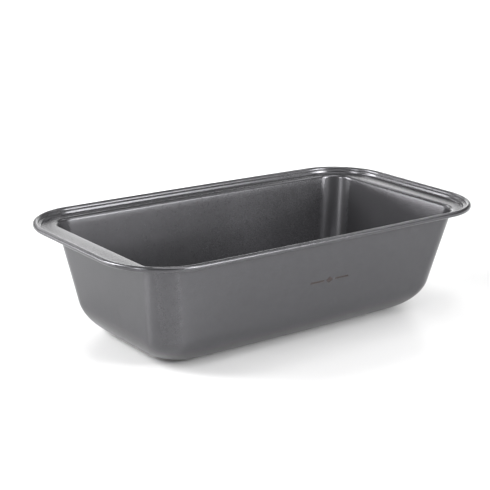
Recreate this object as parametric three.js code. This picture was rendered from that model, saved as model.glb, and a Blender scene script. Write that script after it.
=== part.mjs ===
// Loaf pan: one deep-drawn steel sheet with a stepped flange, rolled at the rim around a steel wire.
// Millimetres, +Z up. The origin is the centre of the base's underside, and X runs along the pan.

import * as THREE from 'three';

// Sheet and rim
const SHEET = 0.6;                 // thickness of the steel sheet
const HEIGHT = 73.6;               // base's underside to the top of the bead
const RIM_HALF_LENGTH = 140;       // centre to the outermost edge of the bead
const RIM_HALF_WIDTH = 74.1;
const RIM_CORNER = 39.6;           // plan radius of the bead's outermost edge
const RIM_BOW = 1.4;               // how far the long sides stand out at mid-length
const BEAD_RADIUS = 1.75;          // outside radius of the rolled bead
const CURL_END = -55;              // degrees: where the roll stops, measured at the bead's centre
const WIRE_RADIUS = 0.9;
const WIRE_GAP = 1;                // butt gap where the wire's two ends meet

// Steps between the bead and the flange
const LEDGE_DROP = 1.85;           // top of the bead down to the ledge
const LEDGE_END = 5.0;             // outermost edge in to the corner where the ledge turns down
const FLANGE_DROP = 3.8;           // top of the bead down to the flange
const FLANGE_FOOT = 5.6;           // outermost edge in to the foot of the step
const STEP_RADIUS = 0.7;           // bend radius of the steps, on the food side
const HOLLOW_RADIUS = 0.4;         // bend radius of the hollow between the bead and the ledge

// Inner edge of the flange, where the sheet rolls over into the wall
const MOUTH_HALF_LENGTH = 122.1;
const MOUTH_HALF_WIDTH = 63.7;
const MOUTH_CORNER = 18;
const MOUTH_BOW = 0.4;
const ROLL_RADIUS = 2.6;           // roll-over radius, on the food side

// Base, as the outline where the straight walls would meet the table
const BASE_HALF_LENGTH = 107.7;
const BASE_HALF_WIDTH = 49.5;
const BASE_CORNER = 17.5;
const BASE_BOW = 1.4;
const BASE_FILLET = 24.5;          // outside radius between base and wall
const FILLET_SPREAD = 0.2;         // how fast the corner radius grows as the fillet runs inwards

// How finely curves are cut
const CORNER_STEPS = 8;            // around each corner in plan
const SIDE_STEPS = 4;              // along each side in plan
const FILLET_STEPS = 6;
const WALL_STEPS = 3;
const ROLL_STEPS = 4;
const STEP_STEPS = 2;
const CURL_STEPS = 12;
const WIRE_SIDES = 8;

const radians = THREE.MathUtils.degToRad;
const lerp = THREE.MathUtils.lerp;

// A station is one horizontal outline of the sheet: half length x, half width y, corner radius r,
// side bow and height z, with the food side's normal in the vertical section: out (away from the
// pan's middle) and up.
function rimStation(inset, drop, out, up) {
  return {
    x: RIM_HALF_LENGTH - inset,
    y: RIM_HALF_WIDTH - inset,
    r: RIM_CORNER - inset,
    bow: RIM_BOW,
    z: HEIGHT - drop,
    out,
    up,
  };
}

// The wall's slope follows from the mouth and the base outline; both directions share one draft.
const flangeHeight = HEIGHT - FLANGE_DROP;
const slope = (MOUTH_HALF_LENGTH - ROLL_RADIUS + SHEET - BASE_HALF_LENGTH) / (flangeHeight - ROLL_RADIUS);
const draft = Math.atan(slope);

function wallStation(height) {
  const wallTop = flangeHeight - ROLL_RADIUS * (1 - Math.sin(draft));
  const share = height / wallTop;
  const topLength = MOUTH_HALF_LENGTH - ROLL_RADIUS * Math.cos(draft);
  const topWidth = MOUTH_HALF_WIDTH - ROLL_RADIUS * Math.cos(draft);
  const topCorner = MOUTH_CORNER - ROLL_RADIUS * Math.cos(draft);
  return {
    x: lerp(BASE_HALF_LENGTH - SHEET, topLength, share),
    y: lerp(BASE_HALF_WIDTH - SHEET, topWidth, share),
    r: lerp(BASE_CORNER - SHEET, topCorner, share),
    bow: lerp(BASE_BOW, MOUTH_BOW, share),
    z: height,
    out: -Math.cos(draft),
    up: Math.sin(draft),
  };
}

// Base fillet, from the flat floor (angle 0) to where it meets the wall.
function filletStations() {
  const radius = BASE_FILLET - SHEET;
  const stations = [];
  const last = Math.PI / 2 - draft;
  const meet = wallStation(BASE_FILLET - radius * Math.cos(last));
  for (let i = 0; i <= FILLET_STEPS; i += 1) {
    const angle = (last * i) / FILLET_STEPS;
    const inset = radius * (Math.sin(last) - Math.sin(angle));
    const height = BASE_FILLET - radius * Math.cos(angle);
    stations.push({
      x: meet.x - inset,
      y: meet.y - inset,
      r: meet.r + FILLET_SPREAD * inset,
      bow: wallStation(height).bow,
      z: height,
      out: -Math.sin(angle),
      up: Math.cos(angle),
    });
  }
  return stations;
}

function wallStations() {
  const low = BASE_FILLET - (BASE_FILLET - SHEET) * Math.sin(draft);
  const high = flangeHeight - ROLL_RADIUS * (1 - Math.sin(draft));
  const stations = [];
  for (let i = 1; i < WALL_STEPS; i += 1) {
    stations.push(wallStation(lerp(low, high, i / WALL_STEPS)));
  }
  return stations;
}

// Roll-over from the wall up to the flat flange.
function rollStations() {
  const stations = [];
  for (let i = 0; i <= ROLL_STEPS; i += 1) {
    const angle = (Math.PI / 2 - draft) * (1 - i / ROLL_STEPS);
    const inset = ROLL_RADIUS * Math.sin(angle);
    stations.push({
      x: MOUTH_HALF_LENGTH - inset,
      y: MOUTH_HALF_WIDTH - inset,
      r: MOUTH_CORNER - inset,
      bow: MOUTH_BOW,
      z: flangeHeight - ROLL_RADIUS * (1 - Math.cos(angle)),
      out: -Math.sin(angle),
      up: Math.cos(angle),
    });
  }
  return stations;
}

// A bend in the rim: an arc about a centre given as inset and drop. Angles are degrees from the
// direction towards the pan's middle, and side is 1 where the food side is outside the bend.
function bend(inset, drop, radius, from, to, steps, side) {
  const stations = [];
  for (let i = 0; i <= steps; i += 1) {
    const angle = radians(lerp(from, to, i / steps));
    const inward = Math.cos(angle);
    const upward = Math.sin(angle);
    stations.push(
      rimStation(inset + radius * inward, drop - radius * upward, -side * inward, side * upward),
    );
  }
  return stations;
}

// The step from flange to ledge leans, the ledge is flat, and a last bend runs into the bead.
function rimStations() {
  const rise = FLANGE_DROP - LEDGE_DROP;
  const run = FLANGE_FOOT - LEDGE_END;
  const lean = THREE.MathUtils.radToDeg(Math.atan2(rise, run));
  const tangent = STEP_RADIUS * Math.tan(radians(lean / 2));
  const valley = BEAD_RADIUS + HOLLOW_RADIUS;
  const valleyDrop = LEDGE_DROP - HOLLOW_RADIUS;
  const valleyUp = BEAD_RADIUS - valleyDrop;
  const valleyInset = BEAD_RADIUS + Math.sqrt(valley * valley - valleyUp * valleyUp);
  const touch = THREE.MathUtils.radToDeg(Math.asin(valleyUp / valley));
  return [
    ...bend(FLANGE_FOOT + tangent, FLANGE_DROP - STEP_RADIUS, STEP_RADIUS, 270, 270 - lean, STEP_STEPS, -1),
    ...bend(LEDGE_END - tangent, LEDGE_DROP + STEP_RADIUS, STEP_RADIUS, 90 - lean, 90, STEP_STEPS, 1),
    ...bend(valleyInset, valleyDrop, HOLLOW_RADIUS, 270, 180 + touch, STEP_STEPS, -1),
    ...bend(BEAD_RADIUS, BEAD_RADIUS, BEAD_RADIUS, touch, 360 + CURL_END, CURL_STEPS, 1).slice(1),
  ];
}

// The same station on the sheet's other side.
function underside(station) {
  const shift = SHEET * station.out;
  return {
    ...station,
    x: station.x - shift,
    y: station.y - shift,
    r: station.r - shift,
    z: station.z - SHEET * station.up,
  };
}

// A rounded rectangle with bowed long sides, counter-clockwise from the middle of the back.
function outline({ x, y, r, bow, z }) {
  const points = [];
  for (let quarter = 1; quarter <= 4; quarter += 1) {
    const middle = radians(90 * quarter + 45);
    const centreX = Math.sign(Math.cos(middle)) * (x - r);
    const centreY = Math.sign(Math.sin(middle)) * (y - r);
    for (let i = 0; i <= CORNER_STEPS; i += 1) {
      const angle = radians(90 * (quarter + i / CORNER_STEPS));
      points.push(new THREE.Vector3(centreX + r * Math.cos(angle), centreY + r * Math.sin(angle), z));
    }
    const from = points[points.length - 1];
    const alongX = quarter % 2 === 0;
    const to = alongX ? new THREE.Vector3(-from.x, from.y, z) : new THREE.Vector3(from.x, -from.y, z);
    for (let i = 1; i < SIDE_STEPS; i += 1) {
      points.push(from.clone().lerp(to, i / SIDE_STEPS));
    }
  }
  for (const point of points) {
    point.y += bow * (1 - (point.x / x) ** 2) * (point.y / y);
  }
  const half = SIDE_STEPS / 2;
  return [...points.slice(-half), ...points.slice(0, -half)];
}

// Joins rings of points, each as long as the last, into quads. A ring can close on itself.
function skin(rings, closed) {
  const triangles = [];
  for (let i = 0; i + 1 < rings.length; i += 1) {
    const count = rings[i].length;
    const last = closed ? count : count - 1;
    for (let j = 0; j < last; j += 1) {
      const a = rings[i][j];
      const b = rings[i][(j + 1) % count];
      const c = rings[i + 1][(j + 1) % count];
      const d = rings[i + 1][j];
      triangles.push([a, b, c], [a, c, d]);
    }
  }
  return triangles;
}

function fan(centre, ring) {
  return ring.map((point, i) => [centre, point, ring[(i + 1) % ring.length]]);
}

function flipped(triangles) {
  return triangles.map(([a, b, c]) => [a, c, b]);
}

function geometryOf(triangles) {
  const geometry = new THREE.BufferGeometry();
  geometry.setFromPoints(triangles.flat());
  geometry.computeVertexNormals();
  return geometry;
}

// The sheet: up the food side from the floor, around the bead, and back along the underside.
function panShell() {
  const food = [...filletStations(), ...wallStations(), ...rollStations(), ...rimStations()];
  const table = food.map(underside);
  const foodRings = food.map(outline);
  const tableRings = table.map(outline);
  const foodCentre = new THREE.Vector3(0, 0, food[0].z);
  const tableCentre = new THREE.Vector3(0, 0, table[0].z);
  const edge = skin([foodRings[foodRings.length - 1], tableRings[tableRings.length - 1]], true);
  return geometryOf([
    ...fan(foodCentre, foodRings[0]),
    ...flipped(skin(foodRings, true)),
    ...flipped(edge),
    ...skin(tableRings, true),
    ...flipped(fan(tableCentre, tableRings[0])),
  ]);
}

// The wire in the bead, bent from one length, with its ends butted at the middle of the back.
function rimWire() {
  const strands = [];
  for (let side = 0; side < WIRE_SIDES; side += 1) {
    const angle = (2 * Math.PI * side) / WIRE_SIDES;
    const inset = BEAD_RADIUS - WIRE_RADIUS * Math.cos(angle);
    const drop = BEAD_RADIUS - WIRE_RADIUS * Math.sin(angle);
    const strand = outline(rimStation(inset, drop, 0, 0));
    strand.push(strand[0].clone());
    strand[0].x -= WIRE_GAP / 2;
    strand[strand.length - 1].x += WIRE_GAP / 2;
    strands.push(strand);
  }
  const start = strands.map((strand) => strand[0]);
  const end = strands.map((strand) => strand[strand.length - 1]);
  const middle = (ring) => ring[0].clone().lerp(ring[WIRE_SIDES / 2], 0.5);
  return geometryOf([
    ...skin([...strands, strands[0]], false),
    ...fan(middle(start), start),
    ...flipped(fan(middle(end), end)),
  ]);
}

function part(name, geometry, color, roughness, metalness) {
  const mesh = new THREE.Mesh(
    geometry,
    new THREE.MeshStandardMaterial({ color, roughness, metalness }),
  );
  mesh.name = name;
  return mesh;
}

const loafPan = new THREE.Group();
loafPan.add(part('pan_shell', panShell(), 0x4a4a4c, 0.4, 0.8));
loafPan.add(part('rim_wire', rimWire(), 0x9a9b9d, 0.35, 1));

export default loafPan;
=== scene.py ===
"""Loaf pan: a fine drawn shell with its rolled rim, the wire inside it, and a plain studio.

Everything is in metres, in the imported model's frame: the origin is the centre of the base's underside,
X runs along the pan and Z is up. The shell and the wire stand for the CAD nodes of the same names.
"""
import math

import bmesh
import bpy
from mathutils import Matrix, Vector


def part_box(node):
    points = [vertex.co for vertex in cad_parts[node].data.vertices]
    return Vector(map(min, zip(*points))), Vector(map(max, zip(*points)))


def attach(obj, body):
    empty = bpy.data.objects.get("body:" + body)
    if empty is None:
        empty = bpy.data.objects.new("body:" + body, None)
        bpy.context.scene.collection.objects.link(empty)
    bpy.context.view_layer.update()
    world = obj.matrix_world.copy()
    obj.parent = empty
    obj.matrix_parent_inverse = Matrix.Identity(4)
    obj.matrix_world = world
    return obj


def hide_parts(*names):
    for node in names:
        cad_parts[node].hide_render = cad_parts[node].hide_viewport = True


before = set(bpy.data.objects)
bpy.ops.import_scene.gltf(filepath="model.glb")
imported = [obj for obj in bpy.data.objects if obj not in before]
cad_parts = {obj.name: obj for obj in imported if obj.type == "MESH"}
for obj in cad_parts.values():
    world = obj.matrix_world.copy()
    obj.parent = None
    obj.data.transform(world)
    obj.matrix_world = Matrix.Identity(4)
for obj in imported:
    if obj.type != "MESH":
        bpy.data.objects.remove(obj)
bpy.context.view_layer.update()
cad_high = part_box("pan_shell")[1]

MM = 0.001
QUARTER_TURN = math.pi / 2

# ---------------------------------------------------------------------------------------------
# The pan's dimensions, as in the CAD model
# ---------------------------------------------------------------------------------------------
HEIGHT = cad_high[2]
RIM_HALF_LENGTH = cad_high[0]
RIM_BOW = 1.4 * MM
RIM_HALF_WIDTH = cad_high[1] - RIM_BOW
RIM_CORNER = 39.6 * MM
SHEET = 0.6 * MM
BEAD_RADIUS = 1.75 * MM
CURL_END = 305.0               # where the roll stops, as an angle in the rim's section
WIRE_RADIUS = 0.9 * MM
WIRE_GAP = 1.0 * MM

# Drops are measured from the top of the bead, and the ledge's end and the foot of the step below it
# from the rim's outermost edge
LEDGE_DROP = 1.85 * MM
LEDGE_END = 5.0 * MM
FLANGE_DROP = 3.8 * MM
FLANGE_FOOT = 5.6 * MM
STEP_RADIUS = 0.7 * MM
HOLLOW_RADIUS = 0.4 * MM

MOUTH_END_INSET = 17.9 * MM
MOUTH_SIDE_INSET = 10.4 * MM
MOUTH_HALF_LENGTH = RIM_HALF_LENGTH - MOUTH_END_INSET
MOUTH_HALF_WIDTH = RIM_HALF_WIDTH - MOUTH_SIDE_INSET
MOUTH_CORNER = 18.0 * MM
MOUTH_BOW = 0.4 * MM
ROLL_RADIUS = 2.6 * MM

BASE_HALF_LENGTH = 107.7 * MM
BASE_HALF_WIDTH = 49.5 * MM
BASE_CORNER = 17.5 * MM
BASE_BOW = 1.4 * MM
BASE_FILLET = 24.5 * MM
FILLET_SPREAD = 0.2

# The base's underside is scuffed up to this height, and more towards its outside by this power
SCUFF_HEIGHT = 1.2 * MM
SCUFF_POWER = 8

# How finely the shell is cut
CORNER_STEPS = 28
LONG_STEPS = 28
SHORT_STEPS = 14
FLOOR_RINGS = 8
FILLET_STEPS = 20
WALL_STEPS = 14
ROLL_STEPS = 12
FLANGE_STEPS = 3
BEND_STEPS = 6
CURL_STEPS = 34
LIP_STEPS = 4
WIRE_SIDES = 20

flange_height = HEIGHT - FLANGE_DROP
slope = (MOUTH_HALF_LENGTH - ROLL_RADIUS + SHEET - BASE_HALF_LENGTH) / (flange_height - ROLL_RADIUS)
draft = math.atan(slope)
wall_top = flange_height - ROLL_RADIUS * (1 - math.sin(draft))


def lerp(a, b, share):
    """The value this share of the way from a to b."""
    return a + (b - a) * share


# ---------------------------------------------------------------------------------------------
# Stations: the sheet's food side as horizontal outlines, each with its normal in the section
# ---------------------------------------------------------------------------------------------
def station(x, y, r, bow, z, out, up, wear=0.0, bare=0.0):
    """Half length x, half width y, corner radius r, side bow and height z, with the normal's outward and
    upward parts. wear is how much the coating gets rubbed here, and bare is 1 where there is none."""
    return {"x": x, "y": y, "r": r, "bow": bow, "z": z, "out": out, "up": up, "wear": wear, "bare": bare}


def rim_station(inset, drop, out, up, wear=0.0):
    """A station this far in from the rim's outermost edge and this far below the top of its bead."""
    return station(RIM_HALF_LENGTH - inset, RIM_HALF_WIDTH - inset, RIM_CORNER - inset,
                   RIM_BOW, HEIGHT - drop, out, up, wear)


def wall_station(height):
    """A station of the straight wall, at this height above the surface that the pan stands on."""
    share = height / wall_top
    roll = ROLL_RADIUS * math.cos(draft)
    return station(
        lerp(BASE_HALF_LENGTH - SHEET, MOUTH_HALF_LENGTH - roll, share),
        lerp(BASE_HALF_WIDTH - SHEET, MOUTH_HALF_WIDTH - roll, share),
        lerp(BASE_CORNER - SHEET, MOUTH_CORNER - roll, share),
        lerp(BASE_BOW, MOUTH_BOW, share),
        height, -math.cos(draft), math.sin(draft))


def fillet_stations():
    """The rounded base edge, from the flat floor to where it meets the wall."""
    radius = BASE_FILLET - SHEET
    last = QUARTER_TURN - draft
    meet = wall_station(BASE_FILLET - radius * math.cos(last))
    stations = []
    for i in range(FILLET_STEPS + 1):
        angle = last * i / FILLET_STEPS
        inset = radius * (math.sin(last) - math.sin(angle))
        height = BASE_FILLET - radius * math.cos(angle)
        stations.append(station(meet["x"] - inset, meet["y"] - inset, meet["r"] + FILLET_SPREAD * inset,
                                wall_station(height)["bow"], height, -math.sin(angle), math.cos(angle)))
    return stations


def wall_stations():
    """The straight wall, without the stations where the base edge and the roll-over take over."""
    low = BASE_FILLET - (BASE_FILLET - SHEET) * math.sin(draft)
    return [wall_station(lerp(low, wall_top, i / WALL_STEPS)) for i in range(1, WALL_STEPS)]


def roll_stations():
    """The roll-over from the wall up to the flat flange."""
    stations = []
    for i in range(ROLL_STEPS + 1):
        angle = (QUARTER_TURN - draft) * (1 - i / ROLL_STEPS)
        inset = ROLL_RADIUS * math.sin(angle)
        stations.append(station(
            MOUTH_HALF_LENGTH - inset, MOUTH_HALF_WIDTH - inset, MOUTH_CORNER - inset, MOUTH_BOW,
            flange_height - ROLL_RADIUS * (1 - math.cos(angle)), -math.sin(angle), math.cos(angle)))
    return stations


# Angles in the rim's section are degrees from the direction towards the pan's middle
UPWARD = 90.0
OUTWARD = 180.0
DOWNWARD = 270.0


def bend(inset, drop, radius, start, end, steps, side):
    """An arc in the rim's section. side is 1 where the food side is outside the bend, and -1 where
    it is inside."""
    stations = []
    for i in range(steps + 1):
        angle = math.radians(lerp(start, end, i / steps))
        inward = math.cos(angle)
        upward = math.sin(angle)
        wear = max(0.0, upward) if side > 0 else 0.0
        stations.append(rim_station(inset + radius * inward, drop - radius * upward,
                                    -side * inward, side * upward, wear))
    return stations


def blend_stations(a, b, steps):
    """Stations between two, without either of them."""
    return [{key: lerp(a[key], b[key], i / steps) for key in a} for i in range(1, steps)]


def rim_stations():
    """The foot of the step, the ledge's edge, the hollow beside the bead and the bead's curl."""
    lean = math.degrees(math.atan2(FLANGE_DROP - LEDGE_DROP, FLANGE_FOOT - LEDGE_END))
    tangent = STEP_RADIUS * math.tan(math.radians(lean / 2))
    valley = BEAD_RADIUS + HOLLOW_RADIUS
    valley_drop = LEDGE_DROP - HOLLOW_RADIUS
    valley_up = BEAD_RADIUS - valley_drop
    valley_inset = BEAD_RADIUS + math.sqrt(valley ** 2 - valley_up ** 2)
    touch = math.degrees(math.asin(valley_up / valley))
    foot = bend(FLANGE_FOOT + tangent, FLANGE_DROP - STEP_RADIUS, STEP_RADIUS,
                DOWNWARD, DOWNWARD - lean, BEND_STEPS, -1)
    edge = bend(LEDGE_END - tangent, LEDGE_DROP + STEP_RADIUS, STEP_RADIUS,
                UPWARD - lean, UPWARD, BEND_STEPS, 1)
    hollow = bend(valley_inset, valley_drop, HOLLOW_RADIUS,
                  DOWNWARD, OUTWARD + touch, BEND_STEPS, -1)
    curl = bend(BEAD_RADIUS, BEAD_RADIUS, BEAD_RADIUS, touch, CURL_END, CURL_STEPS, 1)
    return foot + edge + hollow + curl[1:]


def underside(s):
    """The station one sheet's thickness behind this one, with the scuffs that standing leaves."""
    shift = SHEET * s["out"]
    height = s["z"] - SHEET * s["up"]
    scuff = max(0.0, 1 - height / SCUFF_HEIGHT) * (s["x"] / BASE_HALF_LENGTH) ** SCUFF_POWER
    return station(s["x"] - shift, s["y"] - shift, s["r"] - shift, s["bow"],
                   height, s["out"], s["up"], scuff)


def lip_stations(last):
    """The sheet's cut edge, rounded from the food side round to the underside."""
    half = SHEET / 2
    stations = []
    for i in range(1, LIP_STEPS):
        angle = math.pi * i / LIP_STEPS
        along = half * math.sin(angle)
        across = half * (1 - math.cos(angle))
        out = last["up"] * along - last["out"] * across
        up = -last["out"] * along - last["up"] * across
        stations.append(station(last["x"] + out, last["y"] + out, last["r"] + out, last["bow"],
                                last["z"] + up, 0.0, 0.0, bare=1.0))
    return stations


def outline(s):
    """A rounded rectangle with bowed long sides, counter-clockwise from the middle of the back."""
    points = []
    for quarter in range(1, 5):
        middle = QUARTER_TURN * (quarter + 0.5)
        centre_x = math.copysign(s["x"] - s["r"], math.cos(middle))
        centre_y = math.copysign(s["y"] - s["r"], math.sin(middle))
        for i in range(CORNER_STEPS + 1):
            angle = QUARTER_TURN * (quarter + i / CORNER_STEPS)
            points.append((centre_x + s["r"] * math.cos(angle), centre_y + s["r"] * math.sin(angle)))
        from_x, from_y = points[-1]
        along_x = quarter % 2 == 0
        to_x = -from_x if along_x else from_x
        to_y = from_y if along_x else -from_y
        steps = LONG_STEPS if along_x else SHORT_STEPS
        for i in range(1, steps):
            points.append((lerp(from_x, to_x, i / steps), lerp(from_y, to_y, i / steps)))
    half = LONG_STEPS // 2
    points = points[-half:] + points[:-half]
    return [Vector((x, y + s["bow"] * (1 - (x / s["x"]) ** 2) * y / s["y"], s["z"])) for x, y in points]


# ---------------------------------------------------------------------------------------------
# Meshes
# ---------------------------------------------------------------------------------------------
SURFACE_LAYERS = ("worn", "bare", "drawn")


def link(name, mesh):
    obj = bpy.data.objects.new(name, mesh)
    bpy.context.scene.collection.objects.link(obj)
    return obj


def add_rings(mesh, rings):
    return [[mesh.verts.new(point) for point in ring] for ring in rings]


def lengths(points):
    """The distance along a line of points to each of them, and back to the first."""
    total = [0.0]
    for a, b in zip(points, points[1:] + points[:1]):
        total.append(total[-1] + (b - a).length)
    return total


def join_rings(mesh, rings, closed):
    """Quads from ring to ring. Their UVs are lengths in metres: across the rings, and around one of
    them for all, so that lines across the rings stay straight."""
    chart = mesh.loops.layers.uv.new("sheet")
    measured = rings[len(rings) // 4]
    around = lengths([vertex.co for vertex in measured])
    across = lengths([ring[0].co for ring in rings])
    for i, (lower, upper) in enumerate(zip(rings, rings[1:])):
        count = len(lower)
        for j in range(count if closed else count - 1):
            k = (j + 1) % count
            face = mesh.faces.new((lower[j], lower[k], upper[k], upper[j]))
            places = ((j, i), (j + 1, i), (j + 1, i + 1), (j, i + 1))
            for loop, (column, row) in zip(face.loops, places):
                loop[chart].uv = (around[column], across[row])


def fan(mesh, centre, ring):
    """Closes a ring with triangles that meet in its middle."""
    middle = mesh.verts.new(centre)
    for j, vertex in enumerate(ring):
        mesh.faces.new((middle, vertex, ring[(j + 1) % len(ring)]))


def floor_rings(first):
    """The flat floor inside the first station, as outlines that shrink to a small one."""
    rings = []
    for i in range(1, FLOOR_RINGS):
        share = i / FLOOR_RINGS
        rings.append(station(first["x"] * share, first["y"] * share, first["r"] * share,
                             first["bow"] * share, first["z"], 0.0, 1.0))
    return rings


def finished(mesh, name):
    """The mesh as an object of this name, smooth and with its normals facing out."""
    bmesh.ops.recalc_face_normals(mesh, faces=mesh.faces)
    for face in mesh.faces:
        face.smooth = True
    data = bpy.data.meshes.new(name)
    mesh.to_mesh(data)
    mesh.free()
    return link(name, data)


def cornering(s, point):
    """1 in the middle of a corner, where the sheet was squeezed most as it was drawn, and 0 on a side."""
    share_x = max(0.0, abs(point.x) - s["x"] + s["r"]) / s["r"]
    share_y = max(0.0, abs(point.y) - s["y"] + s["r"]) / s["r"]
    return 2 * share_x * share_y


def mark_surface(mesh, loop, rings):
    """Writes where the coating is worn, where the steel is bare and where there are draw lines."""
    worn, bare, drawn = [mesh.verts.layers.float[name] for name in SURFACE_LAYERS]
    for s, ring in zip(loop, rings):
        for vertex in ring:
            vertex[worn] = s["wear"]
            vertex[bare] = s["bare"]
            vertex[drawn] = cornering(s, vertex.co) * (1 - abs(s["up"]))


def make_shell():
    """One closed sheet: the food side, the cut edge inside the curl, and the underside."""
    roll = roll_stations()
    rim = rim_stations()
    food = fillet_stations() + wall_stations() + roll
    food += blend_stations(roll[-1], rim[0], FLANGE_STEPS) + rim
    food = floor_rings(food[0]) + food
    table = [underside(s) for s in food]
    loop = food + lip_stations(food[-1]) + table[::-1]
    mesh = bmesh.new()
    for name in SURFACE_LAYERS:
        mesh.verts.layers.float.new(name)
    rings = add_rings(mesh, [outline(s) for s in loop])
    mark_surface(mesh, loop, rings)
    join_rings(mesh, rings, True)
    fan(mesh, (0, 0, food[0]["z"]), rings[0])
    fan(mesh, (0, 0, table[0]["z"]), rings[-1])
    return finished(mesh, "shell")


def make_wire():
    """A round wire along the bead's centre, open by a small gap where its ends meet at the back."""
    strands = []
    for side in range(WIRE_SIDES):
        angle = 2 * math.pi * side / WIRE_SIDES
        strand = outline(rim_station(BEAD_RADIUS - WIRE_RADIUS * math.cos(angle),
                                     BEAD_RADIUS - WIRE_RADIUS * math.sin(angle), 0.0, 0.0))
        strand.append(strand[0].copy())
        strand[0].x -= WIRE_GAP / 2
        strand[-1].x += WIRE_GAP / 2
        strands.append(strand)
    mesh = bmesh.new()
    rings = add_rings(mesh, strands)
    join_rings(mesh, rings + rings[:1], False)
    for end in (0, -1):
        ring = [strand[end] for strand in rings]
        centre = sum((vertex.co for vertex in ring), Vector()) / len(ring)
        fan(mesh, centre, ring)
    return finished(mesh, "wire")


# ---------------------------------------------------------------------------------------------
# Materials
# ---------------------------------------------------------------------------------------------
WHITE = (1, 1, 1, 1)
COATING_COLOUR = (0.0868, 0.086, 0.0915, 1)
COATING_METALLIC = 0.7
COATING_ROUGHNESS = 0.25
STEEL_COLOUR = (0.52, 0.515, 0.505, 1)

# The values between which most of a noise lies
NOISE_LOW = 0.3
NOISE_HIGH = 0.7

# The coating's variation: flakes and clouds in its shade, smudges and grit in its roughness
FLAKE_SIZE = 0.45 * MM
FLAKE_CONTRAST = 0.12
MOTTLE_SIZE = 5.0 * MM
MOTTLE_CONTRAST = 0.05
SMUDGE_SIZE = 45.0 * MM
ROUGHNESS_CHANGE = 0.015

# Pinholes, as spots in the middle of large cells
PINHOLE_SPACING = 9.0 * MM
PINHOLE_SHARE = 0.035
PINHOLE_STRENGTH = 0.3
PINHOLE_COLOUR = (0.08, 0.08, 0.082, 1)

# Flecks of steel where the coating is worn
FLECK_SIZE = 1.6 * MM
FLECK_START = 0.62
FLECK_FULL = 0.72
FLECK_STRENGTH = 0.35

# Relief: a fine grain, the paint's orange peel, and draw lines up the squeezed corners
GRAIN_HEIGHT = 0.007 * MM
PEEL_SIZE = 3.2 * MM
PEEL_HEIGHT = 0.02 * MM
DRAW_LINE_WIDTH = 4.0 * MM
DRAW_LINE_STRETCH = 0.06
DRAW_LINE_HEIGHT = 0.06 * MM

# The wire inside the bead, with its noises in cycles per metre
WIRE_DARK = (0.33, 0.33, 0.335, 1)
WIRE_LIGHT = (0.5, 0.5, 0.505, 1)
WIRE_TONE_SCALE = 700.0
WIRE_SMEAR_SCALE = 1500.0
WIRE_GRAIN_SCALE = 2500.0
WIRE_GRAIN_HEIGHT = 0.006 * MM
WIRE_SMOOTHEST = 0.28
WIRE_ROUGHEST = 0.45

# The ornament printed on the front wall
MARK_X = 10.0 * MM
MARK_Z = 40.0 * MM
LOZENGE_HALF_WIDTH = 3.0 * MM
LOZENGE_HALF_HEIGHT = 2.2 * MM
RULE_START = 4.4 * MM
RULE_END = 15.5 * MM
RULE_HALF_HEIGHT = 0.6 * MM
INK_COLOUR = (0.02, 0.009, 0.007, 1)
INK_STRENGTH = 0.9
INK_ROUGHNESS = 0.12           # how much rougher the ink is than the coating
FACING_FRONT = -0.5            # how far to the front a surface has to face to be printed on


def new_material(name):
    material = bpy.data.materials.new(name)
    material.use_nodes = True
    tree = material.node_tree
    shader = tree.nodes["Principled BSDF"]
    return material, tree, shader


def plug(tree, socket, value):
    """Gives an input its value, which is another node's output or a plain one."""
    if isinstance(value, bpy.types.NodeSocket):
        tree.links.new(value, socket)
    else:
        socket.default_value = value


def noise(tree, coordinate, scale, detail=3.0, roughness=0.5):
    node = tree.nodes.new("ShaderNodeTexNoise")
    node.inputs["Scale"].default_value = scale
    node.inputs["Detail"].default_value = detail
    node.inputs["Roughness"].default_value = roughness
    tree.links.new(coordinate, node.inputs["Vector"])
    return node.outputs["Fac"]


def cells(tree, coordinate, scale, output):
    node = tree.nodes.new("ShaderNodeTexVoronoi")
    node.inputs["Scale"].default_value = scale
    tree.links.new(coordinate, node.inputs["Vector"])
    return node.outputs[output]


def remap(tree, value, from_low, from_high, to_low, to_high):
    node = tree.nodes.new("ShaderNodeMapRange")
    plug(tree, node.inputs["Value"], value)
    node.inputs["From Min"].default_value = from_low
    node.inputs["From Max"].default_value = from_high
    node.inputs["To Min"].default_value = to_low
    node.inputs["To Max"].default_value = to_high
    return node.outputs["Result"]


def varied(tree, value, middle, change):
    """A noise as values that lie about this change either side of the middle one."""
    return remap(tree, value, NOISE_LOW, NOISE_HIGH, middle - change, middle + change)


def maths(tree, operation, first, second=0.0):
    node = tree.nodes.new("ShaderNodeMath")
    node.operation = operation
    plug(tree, node.inputs[0], first)
    plug(tree, node.inputs[1], second)
    return node.outputs["Value"]


def mixed(tree, share, first, second, kind="MIX"):
    node = tree.nodes.new("ShaderNodeMixRGB")
    node.blend_type = kind
    plug(tree, node.inputs["Fac"], share)
    plug(tree, node.inputs["Color1"], first)
    plug(tree, node.inputs["Color2"], second)
    return node.outputs["Color"]


def attribute(tree, name):
    node = tree.nodes.new("ShaderNodeAttribute")
    node.attribute_name = name
    return node.outputs["Fac"]


def add_bump(tree, height, distance, below=None, strength=1.0):
    node = tree.nodes.new("ShaderNodeBump")
    node.inputs["Distance"].default_value = distance
    plug(tree, node.inputs["Strength"], strength)
    tree.links.new(height, node.inputs["Height"])
    if below is not None:
        tree.links.new(below, node.inputs["Normal"])
    return node.outputs["Normal"]


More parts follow.
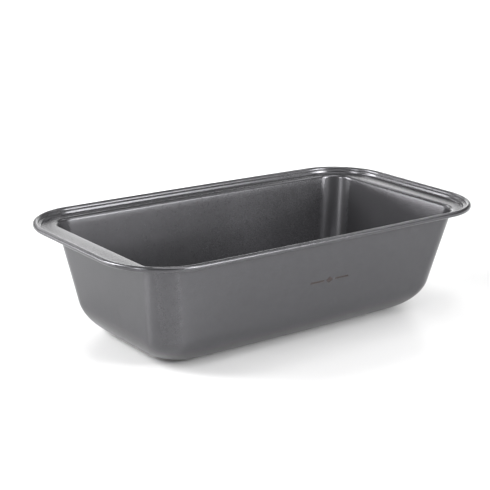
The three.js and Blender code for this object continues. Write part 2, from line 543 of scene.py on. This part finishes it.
def draw_lines(tree):
    """Streaks that run up the wall, about as long as it is high and a few millimetres wide."""
    sheet = tree.nodes.new("ShaderNodeUVMap")
    sheet.uv_map = "sheet"
    stretch = tree.nodes.new("ShaderNodeVectorMath")
    stretch.operation = "MULTIPLY"
    stretch.inputs[1].default_value = (1.0, DRAW_LINE_STRETCH, 1.0)
    tree.links.new(sheet.outputs["UV"], stretch.inputs[0])
    return noise(tree, stretch.outputs["Vector"], 1 / DRAW_LINE_WIDTH, detail=2.0, roughness=0.6)


def ornament(tree, place, normal):
    """1 on a small ornament printed near the middle of the front wall: a lozenge between two rules."""
    split = tree.nodes.new("ShaderNodeSeparateXYZ")
    tree.links.new(place, split.inputs["Vector"])
    facing = tree.nodes.new("ShaderNodeSeparateXYZ")
    tree.links.new(normal, facing.inputs["Vector"])
    across = maths(tree, "ABSOLUTE", maths(tree, "SUBTRACT", split.outputs["X"], MARK_X))
    above = maths(tree, "ABSOLUTE", maths(tree, "SUBTRACT", split.outputs["Z"], MARK_Z))
    reach = maths(tree, "ADD", maths(tree, "DIVIDE", across, LOZENGE_HALF_WIDTH),
                  maths(tree, "DIVIDE", above, LOZENGE_HALF_HEIGHT))
    lozenge = maths(tree, "LESS_THAN", reach, 1.0)
    rule = maths(tree, "LESS_THAN", above, RULE_HALF_HEIGHT)
    rule = maths(tree, "MULTIPLY", rule, maths(tree, "GREATER_THAN", across, RULE_START))
    rule = maths(tree, "MULTIPLY", rule, maths(tree, "LESS_THAN", across, RULE_END))
    outside = maths(tree, "LESS_THAN", facing.outputs["Y"], FACING_FRONT)
    front = maths(tree, "LESS_THAN", split.outputs["Y"], 0.0)
    printed = maths(tree, "MAXIMUM", lozenge, rule)
    return maths(tree, "MULTIPLY", printed, maths(tree, "MULTIPLY", outside, front))


def coating_shade(tree, place):
    """The paint's colour, with its flakes, soft clouds and pinholes."""
    specks = cells(tree, place, 1 / FLAKE_SIZE, "Color")
    flake = remap(tree, specks, 0.0, 1.0, 1 - FLAKE_CONTRAST, 1 + FLAKE_CONTRAST)
    clouds = noise(tree, place, 1 / MOTTLE_SIZE, detail=4.0, roughness=0.6)
    mottle = varied(tree, clouds, 1.0, MOTTLE_CONTRAST)
    shade = maths(tree, "MULTIPLY", flake, mottle)
    paint = mixed(tree, 1.0, COATING_COLOUR, shade, "MULTIPLY")
    depth = cells(tree, place, 1 / PINHOLE_SPACING, "Distance")
    pinhole = maths(tree, "LESS_THAN", depth, PINHOLE_SHARE)
    return mixed(tree, maths(tree, "MULTIPLY", pinhole, PINHOLE_STRENGTH), paint, PINHOLE_COLOUR)


def bare_steel(tree, place):
    """1 on the sheet's cut edge, and less in flecks where the coating is worn."""
    specks = noise(tree, place, 1 / FLECK_SIZE, detail=5.0, roughness=0.7)
    fleck = remap(tree, specks, FLECK_START, FLECK_FULL, 0.0, 1.0)
    worn = maths(tree, "MULTIPLY", attribute(tree, "worn"), fleck)
    rubbed = maths(tree, "MULTIPLY", worn, FLECK_STRENGTH)
    return maths(tree, "MAXIMUM", rubbed, attribute(tree, "bare"))


def coating_roughness(tree, place, inked):
    """Soft smudges and fine grit either side of the coating's own roughness, and rougher ink."""
    smudge = varied(tree, noise(tree, place, 1 / SMUDGE_SIZE, detail=2.0), 0.0, ROUGHNESS_CHANGE)
    grit = varied(tree, noise(tree, place, 1 / FLAKE_SIZE, roughness=0.6), 0.0, ROUGHNESS_CHANGE)
    rough = maths(tree, "ADD", maths(tree, "ADD", smudge, grit), COATING_ROUGHNESS)
    return maths(tree, "ADD", rough, maths(tree, "MULTIPLY", inked, INK_ROUGHNESS))


def coating_relief(tree, place):
    """Bumps upon bumps: the grain, the orange peel, and draw lines where the sheet was squeezed."""
    grain = add_bump(tree, noise(tree, place, 1 / FLAKE_SIZE, detail=2.0), GRAIN_HEIGHT)
    peel = add_bump(tree, noise(tree, place, 1 / PEEL_SIZE, detail=2.0), PEEL_HEIGHT, grain)
    return add_bump(tree, draw_lines(tree), DRAW_LINE_HEIGHT, peel, attribute(tree, "drawn"))


def coating_material():
    """Dark metallic non-stick paint on drawn steel, rubbed at the edges and absent from the cut edge."""
    material, tree, shader = new_material("nonstick_coating")
    texture = tree.nodes.new("ShaderNodeTexCoord")
    place = texture.outputs["Object"]
    inked = ornament(tree, place, texture.outputs["Normal"])
    steel = bare_steel(tree, place)

    ink = maths(tree, "MULTIPLY", inked, INK_STRENGTH)
    paint = mixed(tree, ink, coating_shade(tree, place), INK_COLOUR)
    tree.links.new(mixed(tree, steel, paint, STEEL_COLOUR), shader.inputs["Base Color"])
    metal = remap(tree, steel, 0.0, 1.0, COATING_METALLIC, 1.0)
    metal = maths(tree, "ADD", maths(tree, "MULTIPLY", inked, -COATING_METALLIC), metal)
    tree.links.new(metal, shader.inputs["Metallic"])
    tree.links.new(coating_roughness(tree, place, inked), shader.inputs["Roughness"])
    tree.links.new(coating_relief(tree, place), shader.inputs["Normal"])
    return material


def wire_material():
    """Plain drawn steel, slightly uneven in tone and shine."""
    material, tree, shader = new_material("drawn_wire")
    shader.inputs["Metallic"].default_value = 1.0
    place = tree.nodes.new("ShaderNodeTexCoord").outputs["Object"]
    tone = noise(tree, place, WIRE_TONE_SCALE, detail=4.0)
    tree.links.new(mixed(tree, tone, WIRE_DARK, WIRE_LIGHT), shader.inputs["Base Color"])
    smear = noise(tree, place, WIRE_SMEAR_SCALE)
    rough = remap(tree, smear, NOISE_LOW, NOISE_HIGH, WIRE_SMOOTHEST, WIRE_ROUGHEST)
    tree.links.new(rough, shader.inputs["Roughness"])
    grain = add_bump(tree, noise(tree, place, WIRE_GRAIN_SCALE), WIRE_GRAIN_HEIGHT)
    tree.links.new(grain, shader.inputs["Normal"])
    return material


# ---------------------------------------------------------------------------------------------
# Studio
# ---------------------------------------------------------------------------------------------
CAMERA_AZIMUTH = math.radians(-37.74)
CAMERA_ELEVATION = math.radians(16.61)
CAMERA_ROLL = math.radians(1.22)
CAMERA_DISTANCE = 0.8131
CAMERA_TARGET = Vector((-0.0023, 0.0128, 0.0468))
CAMERA_LENS = 91.29            # millimetres, on the sensor below
CAMERA_SENSOR = 36.0

FLOOR_HALF_SIZE = 8.0
FLOOR_GAP = 0.2 * MM           # how far below the base it lies, so that the two don't share a plane
FLOOR_COLOUR = (0.8, 0.8, 0.8, 1)
FLOOR_ROUGHNESS = 0.38
GLOW_START = 0.5               # distances from the pan
GLOW_END = 1.6

# The sine of the elevation where the pale horizon starts to fade, and where it has gone
HORIZON_START = 0.12
HORIZON_END = 0.26

SOFTBOX_DISTANCE = 1.6


def direction(azimuth, elevation):
    """From the pan towards a point of the studio. Both angles are radians, azimuth 0 is the front and
    a quarter turn is +X."""
    return Vector((math.sin(azimuth) * math.cos(elevation), -math.cos(azimuth) * math.cos(elevation),
                   math.sin(elevation)))


def make_camera():
    data = bpy.data.cameras.new("camera")
    data.lens = CAMERA_LENS
    data.sensor_width = CAMERA_SENSOR
    camera = bpy.data.objects.new("camera", data)
    bpy.context.scene.collection.objects.link(camera)
    back = direction(CAMERA_AZIMUTH, CAMERA_ELEVATION)
    aim = back.to_track_quat("Z", "Y").to_matrix().to_4x4()
    roll = Matrix.Rotation(CAMERA_ROLL, 4, "Z")
    camera.matrix_world = Matrix.Translation(CAMERA_TARGET + back * CAMERA_DISTANCE) @ aim @ roll
    bpy.context.scene.camera = camera


def softbox(name, azimuth, elevation, width, height, watts):
    """A soft panel that faces the pan. Its two angles are direction()'s, but in degrees."""
    data = bpy.data.lights.new(name, "AREA")
    data.shape = "RECTANGLE"
    data.size = width
    data.size_y = height
    data.energy = watts
    light = bpy.data.objects.new(name, data)
    light.visible_camera = False
    bpy.context.scene.collection.objects.link(light)
    away = direction(math.radians(azimuth), math.radians(elevation))
    aim = away.to_track_quat("Z", "Y").to_matrix().to_4x4()
    light.matrix_world = Matrix.Translation(away * SOFTBOX_DISTANCE) @ aim


def make_lights():
    """Each line is a panel's azimuth and elevation in degrees, its width and height, and its power."""
    softbox("left_tall", -125, 26, 0.6, 0.59, 19.5)
    softbox("left_low", -136, 4, 0.42, 0.3, 4.2)
    softbox("left_side", -74, 32, 0.3, 0.7, 9.0)
    softbox("left_high", -118, 44, 0.42, 0.4, 12.0)
    softbox("right_high", 24, 41, 0.28, 0.4, 5.0)
    softbox("right_key", 15, 28, 0.48, 0.3, 12.0)
    softbox("right_low", 29, 18, 0.42, 0.36, 8.6)
    softbox("right_side", 90, 47, 1.06, 0.25, 3.1)
    softbox("rear_high", 159, 40, 0.52, 0.3, 3.3)
    softbox("rear_low", 142, 15.5, 0.82, 0.42, 2.55)
    softbox("rear_left", -176, 29, 1.18, 0.3, 4.2)
    softbox("overhead_front", 30, 62, 0.8, 0.4, 5.5)
    softbox("overhead", 36, 85, 0.6, 0.6, 6.5)


def floor_material():
    """A satin white table top that glows far from the pan, where the lamps don't reach."""
    material, tree, shader = new_material("pale_floor")
    shader.inputs["Base Color"].default_value = FLOOR_COLOUR
    shader.inputs["Roughness"].default_value = FLOOR_ROUGHNESS
    shader.inputs["Emission Color"].default_value = WHITE
    span = tree.nodes.new("ShaderNodeVectorMath")
    span.operation = "LENGTH"
    tree.links.new(tree.nodes.new("ShaderNodeTexCoord").outputs["Object"], span.inputs[0])
    glow = remap(tree, span.outputs["Value"], GLOW_START, GLOW_END, 0.0, 1.0)
    tree.links.new(glow, shader.inputs["Emission Strength"])
    return material


def make_floor():
    mesh = bmesh.new()
    bmesh.ops.create_grid(mesh, x_segments=1, y_segments=1, size=FLOOR_HALF_SIZE)
    data = bpy.data.meshes.new("floor")
    mesh.to_mesh(data)
    mesh.free()
    floor = link("floor", data)
    floor.location.z = -FLOOR_GAP
    floor.data.materials.append(floor_material())


def make_horizon():
    """A white band round the horizon, which fades into a dark room above it."""
    world = bpy.data.worlds.new("studio")
    world.use_nodes = True
    tree = world.node_tree
    background = tree.nodes["Background"]
    background.inputs["Color"].default_value = WHITE
    split = tree.nodes.new("ShaderNodeSeparateXYZ")
    tree.links.new(tree.nodes.new("ShaderNodeTexCoord").outputs["Generated"], split.inputs["Vector"])
    band = remap(tree, split.outputs["Z"], HORIZON_START, HORIZON_END, 1.0, 0.0)
    tree.links.new(band, background.inputs["Strength"])
    bpy.context.scene.world = world


def make_studio():
    make_floor()
    make_horizon()
    make_lights()
    bpy.context.scene.view_settings.view_transform = "Standard"


# ---------------------------------------------------------------------------------------------
# The scene
# ---------------------------------------------------------------------------------------------
make_camera()
make_studio()

shell = make_shell()
shell.data.materials.append(coating_material())
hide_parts("pan_shell")
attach(shell, "root")

wire = make_wire()
wire.data.materials.append(wire_material())
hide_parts("rim_wire")
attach(wire, "root")
